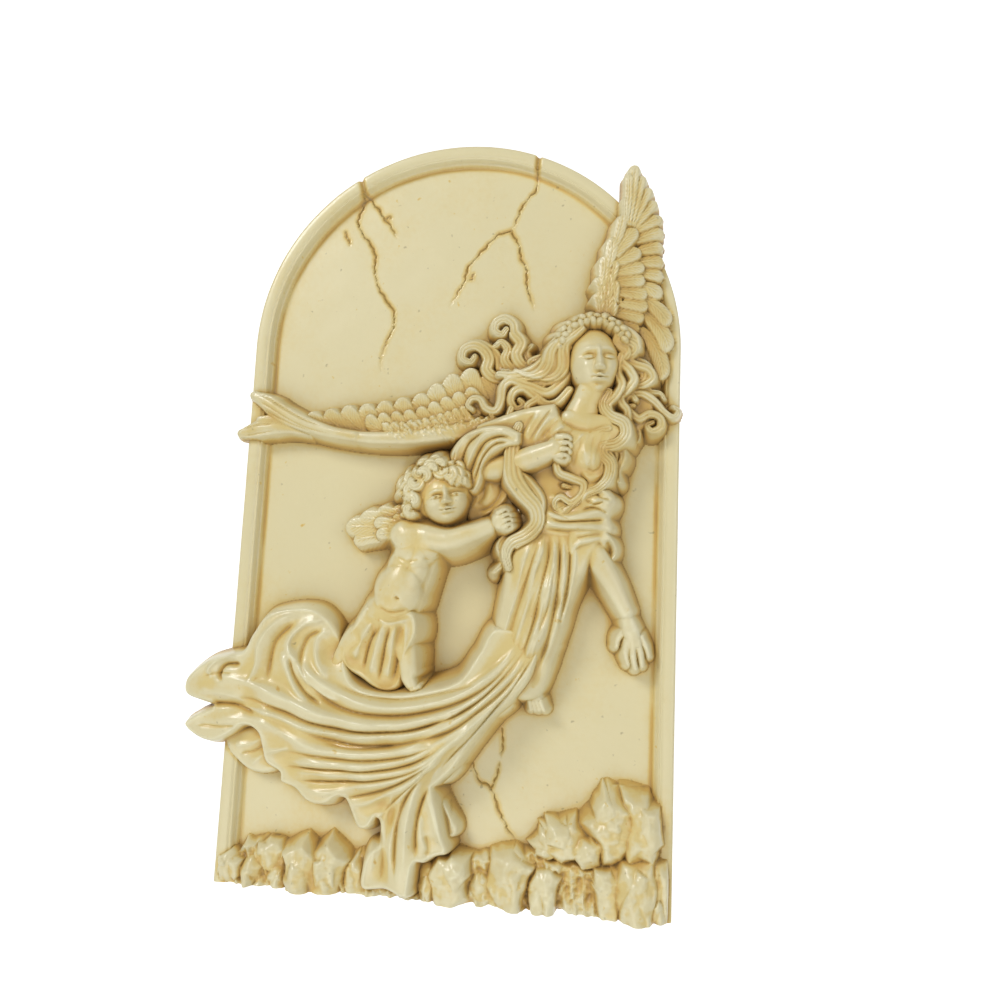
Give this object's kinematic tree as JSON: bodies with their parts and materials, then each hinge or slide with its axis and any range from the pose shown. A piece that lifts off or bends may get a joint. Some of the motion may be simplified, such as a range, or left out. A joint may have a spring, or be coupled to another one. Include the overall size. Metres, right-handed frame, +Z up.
{
  "type": "relief wall plaque",
  "caption": "Arched cast resin wall plaque with a flying winged angel, a small cherub, swirling drapery and rocks in relief, with a raised frame on three sides.",
  "frame": {"origin": "middle of the flat back, which lies on the wall: half way across the width and half way up the height", "axes": "+Z up the plaque, +Y out of the back into the wall, +X to the right for someone who looks at the relief"},
  "size_m": [0.1088, 0.021, 0.1756],
  "materials": {
    "ivory_resin": "ivory glaze with an amber antique wash, satin gloss"
  },
  "bodies": {
    "root": {"plaque": "ivory_resin"}
  },
  "joints": []
}
